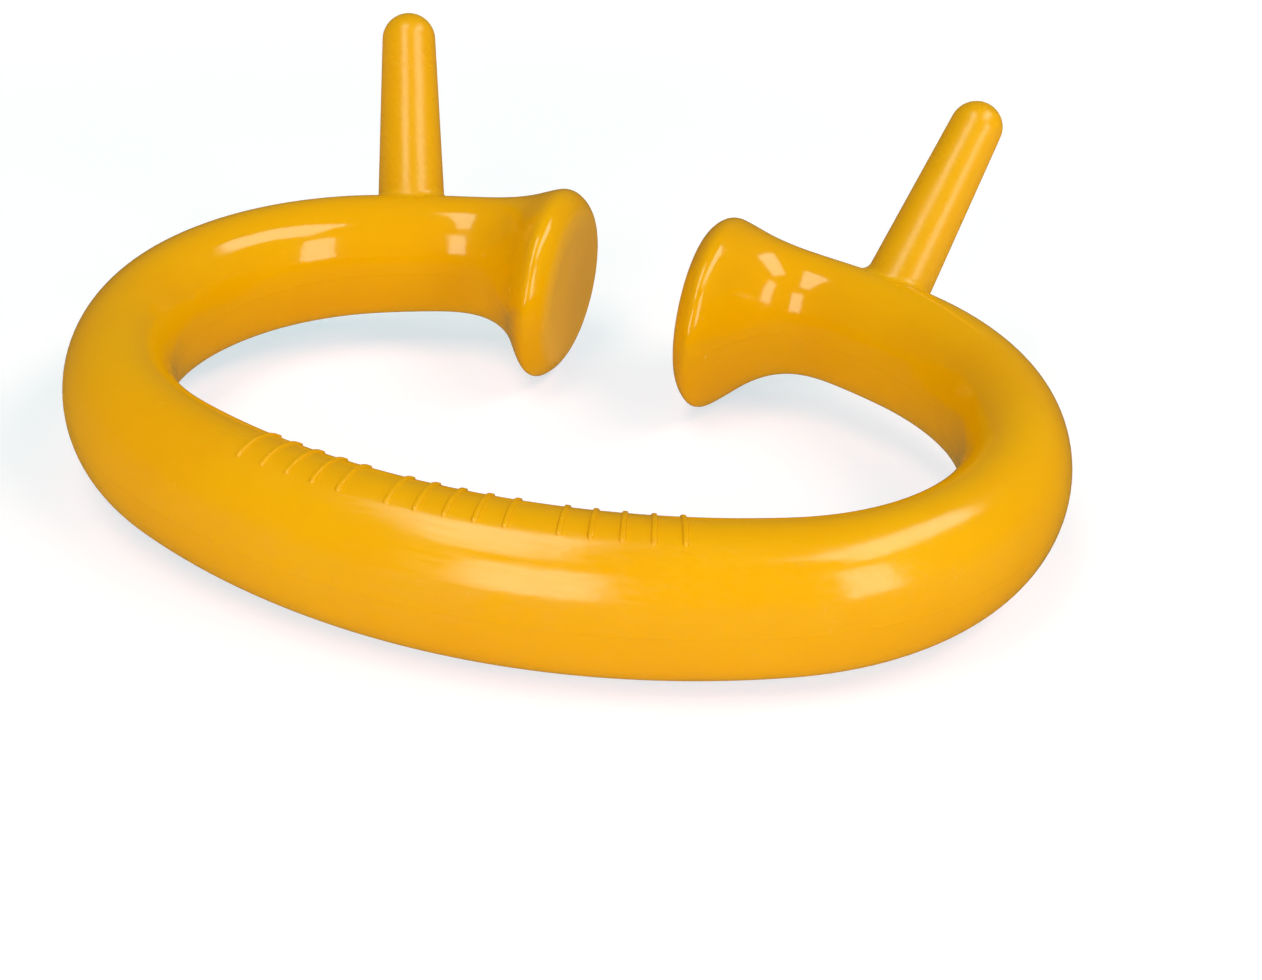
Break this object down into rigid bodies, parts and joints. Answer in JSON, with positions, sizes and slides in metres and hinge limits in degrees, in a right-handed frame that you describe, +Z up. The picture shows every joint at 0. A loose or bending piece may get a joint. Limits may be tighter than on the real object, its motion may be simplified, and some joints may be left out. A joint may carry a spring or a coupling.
{
  "type": "cattle weaning nose ring",
  "caption": "Open oval plastic nose ring for cattle: a thick front bar, springy side bends, flared round nose pads facing each other and blunt upright prods that discourage suckling.",
  "frame": {"origin": "on the surface that the ring lies on, under the middle of its bounding box", "axes": "+Z up, with the ring lying on a flat surface; +X across the ring, through both side bends; +Y from the front bar towards the nose pads"},
  "size_m": [0.1304, 0.1056, 0.0429],
  "materials": {
    "ring_plastic": "glossy amber-yellow moulded plastic",
    "pad_plastic": "the same plastic, a little duller on the end faces"
  },
  "bodies": {
    "ring_front": {"front_bar": "ring_plastic", "raised_marks": "ring_plastic", "left_bend": "ring_plastic", "right_bend": "ring_plastic"},
    "left_jaw": {"left_arm": "ring_plastic", "left_nose_pad": "pad_plastic", "left_prod": "ring_plastic"},
    "right_jaw": {"right_arm": "ring_plastic", "right_nose_pad": "pad_plastic", "right_prod": "ring_plastic"}
  },
  "joints": [
    {"name": "left_flex", "type": "hinge", "parent": "ring_front", "child": "left_jaw", "pos_m": [-0.05817, -0.00323, 0.01194], "axis": [0, -0.0469, 0.9989], "range_deg": [-4, 12], "stiffness_Nm_per_rad": 5, "deforming": ["left_bend"]},
    {"name": "right_flex", "type": "hinge", "parent": "ring_front", "child": "right_jaw", "pos_m": [0.05817, -0.00323, 0.01194], "axis": [0, 0.0469, -0.9989], "range_deg": [-4, 12], "stiffness_Nm_per_rad": 5, "deforming": ["right_bend"]}
  ]
}
